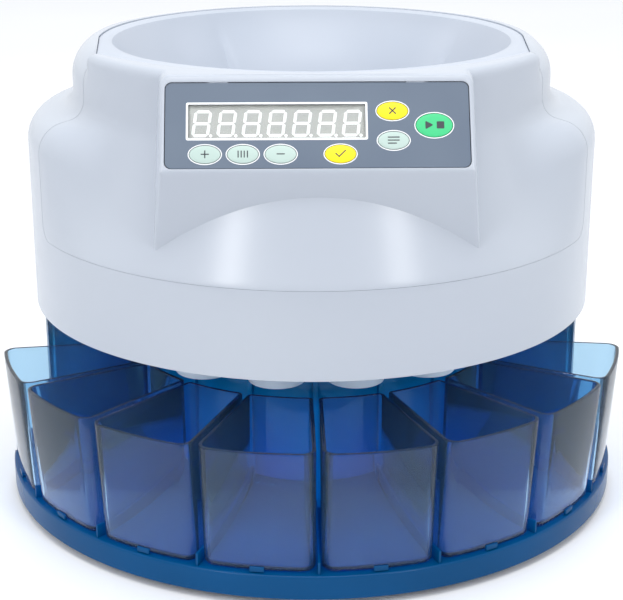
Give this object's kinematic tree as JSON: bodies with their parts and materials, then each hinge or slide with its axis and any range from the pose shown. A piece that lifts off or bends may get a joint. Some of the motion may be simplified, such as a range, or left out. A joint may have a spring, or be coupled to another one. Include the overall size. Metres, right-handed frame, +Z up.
{
  "type": "coin sorting machine",
  "caption": "Countertop coin sorter: round housing with a coin hopper and sloping key console over a tray of removable clear cups.",
  "frame": {"origin": "on the floor, below the middle of the whole object's bounding box", "axes": "+Z up, -Y out of the front where the console and the cups are, +X to the right seen from the front"},
  "size_m": [0.349, 0.3342, 0.256],
  "materials": {
    "housing": "moulded ABS, satin gloss",
    "translucent_blue": "moulded translucent blue polycarbonate",
    "tray_blue": "moulded deep blue ABS",
    "clear_cup": "moulded clear smoky blue polystyrene",
    "hopper": "moulded ABS, fine satin texture",
    "overlay": "printed polycarbonate film",
    "window": "clear window over a grey display",
    "mint_key": "moulded key, printed",
    "yellow_key": "moulded key, printed",
    "green_key": "moulded key, printed",
    "black_plastic": "moulded, fine grain",
    "rubber": "moulded rubber",
    "steel": "machined and pressed steel",
    "track": "machined aluminium",
    "circuit_board": "solder-masked board",
    "white_plastic": "moulded acetal"
  },
  "bodies": {
    "housing": {"base_tray": "tray_blue", "base_plate": "steel", "base_screw_1": "steel", "base_screw_2": "steel", "base_screw_3": "steel", "base_screw_4": "steel", "rubber_foot_1": "rubber", "rubber_foot_2": "rubber", "rubber_foot_3": "rubber", "rubber_foot_4": "rubber", "inner_column": "translucent_blue", "rear_shell": "translucent_blue", "main_housing": "housing", "front_cover": "housing", "panel_overlay": "overlay", "display_window": "window", "display_module": "black_plastic", "main_board": "circuit_board", "sensor_board": "circuit_board", "hopper": "hopper", "coin_outlet_1": "white_plastic", "coin_outlet_2": "white_plastic", "coin_outlet_3": "white_plastic", "coin_outlet_4": "white_plastic", "coin_outlet_5": "white_plastic", "coin_outlet_6": "white_plastic", "coin_outlet_7": "white_plastic", "coin_outlet_8": "white_plastic", "chassis_deck": "white_plastic", "shaft_bearing": "white_plastic", "sorting_plate": "track", "drive_motor": "steel", "data_port": "steel", "power_supply": "black_plastic", "rear_panel": "black_plastic", "power_inlet": "black_plastic", "switch_housing": "black_plastic"},
    "cup_1": {"coin_cup_1": "clear_cup"},
    "cup_2": {"coin_cup_2": "clear_cup"},
    "cup_3": {"coin_cup_3": "clear_cup"},
    "cup_4": {"coin_cup_4": "clear_cup"},
    "cup_5": {"coin_cup_5": "clear_cup"},
    "cup_6": {"coin_cup_6": "clear_cup"},
    "cup_7": {"coin_cup_7": "clear_cup"},
    "cup_8": {"coin_cup_8": "clear_cup"},
    "key_plus": {"key_plus": "mint_key"},
    "key_batch": {"key_batch": "mint_key"},
    "key_minus": {"key_minus": "mint_key"},
    "key_set": {"key_set": "yellow_key"},
    "key_clear": {"key_clear": "yellow_key"},
    "key_report": {"key_report": "mint_key"},
    "key_start": {"key_start": "green_key"},
    "disc_drive": {"coin_disc": "track", "disc_cap": "black_plastic", "disc_shaft": "steel", "drive_gear": "white_plastic"},
    "pinion": {"motor_pinion": "steel"},
    "rocker": {"power_rocker": "black_plastic"}
  },
  "joints": [
    {"name": "cup_1_slide", "type": "slide", "parent": "housing", "child": "cup_1", "axis": [-0.9497, -0.3132, 0], "range_m": [0, 0.08]},
    {"name": "cup_2_slide", "type": "slide", "parent": "housing", "child": "cup_2", "axis": [-0.7799, -0.6259, 0], "range_m": [0, 0.08]},
    {"name": "cup_3_slide", "type": "slide", "parent": "housing", "child": "cup_3", "axis": [-0.5113, -0.8594, 0], "range_m": [0, 0.08]},
    {"name": "cup_4_slide", "type": "slide", "parent": "housing", "child": "cup_4", "axis": [-0.1779, -0.984, 0], "range_m": [0, 0.08]},
    {"name": "cup_5_slide", "type": "slide", "parent": "housing", "child": "cup_5", "axis": [0.1779, -0.984, 0], "range_m": [0, 0.08]},
    {"name": "cup_6_slide", "type": "slide", "parent": "housing", "child": "cup_6", "axis": [0.5113, -0.8594, 0], "range_m": [0, 0.08]},
    {"name": "cup_7_slide", "type": "slide", "parent": "housing", "child": "cup_7", "axis": [0.7799, -0.6259, 0], "range_m": [0, 0.08]},
    {"name": "cup_8_slide", "type": "slide", "parent": "housing", "child": "cup_8", "axis": [0.9497, -0.3132, 0], "range_m": [0, 0.08]},
    {"name": "key_plus_press", "type": "slide", "parent": "housing", "child": "key_plus", "axis": [0, 0.848, -0.5299], "range_m": [0, 0.0008], "stiffness_N_per_m": 300},
    {"name": "key_batch_press", "type": "slide", "parent": "housing", "child": "key_batch", "axis": [0, 0.848, -0.5299], "range_m": [0, 0.0008], "stiffness_N_per_m": 300},
    {"name": "key_minus_press", "type": "slide", "parent": "housing", "child": "key_minus", "axis": [0, 0.848, -0.5299], "range_m": [0, 0.0008], "stiffness_N_per_m": 300},
    {"name": "key_set_press", "type": "slide", "parent": "housing", "child": "key_set", "axis": [0, 0.848, -0.5299], "range_m": [0, 0.0008], "stiffness_N_per_m": 300},
    {"name": "key_clear_press", "type": "slide", "parent": "housing", "child": "key_clear", "axis": [0, 0.848, -0.5299], "range_m": [0, 0.0008], "stiffness_N_per_m": 300},
    {"name": "key_report_press", "type": "slide", "parent": "housing", "child": "key_report", "axis": [0, 0.848, -0.5299], "range_m": [0, 0.0008], "stiffness_N_per_m": 300},
    {"name": "key_start_press", "type": "slide", "parent": "housing", "child": "key_start", "axis": [0, 0.848, -0.5299], "range_m": [0, 0.0008], "stiffness_N_per_m": 300},
    {"name": "disc_spin", "type": "hinge", "parent": "housing", "child": "disc_drive", "pos_m": [0, 0.01025, 0.14], "axis": [0, 0, 1], "continuous": true},
    {"name": "pinion_spin", "type": "hinge", "parent": "housing", "child": "pinion", "pos_m": [0, 0.04925, 0.12], "axis": [0, 0, 1], "continuous": true},
    {"name": "rocker_tilt", "type": "hinge", "parent": "housing", "child": "rocker", "pos_m": [-0.029, 0.15986, 0.136], "axis": [1, 0, 0], "range_deg": [-8, 8]}
  ],
  "couplings": [
    {"joint": "pinion_spin", "follows": "disc_spin", "ratio": -3.3333}
  ]
}
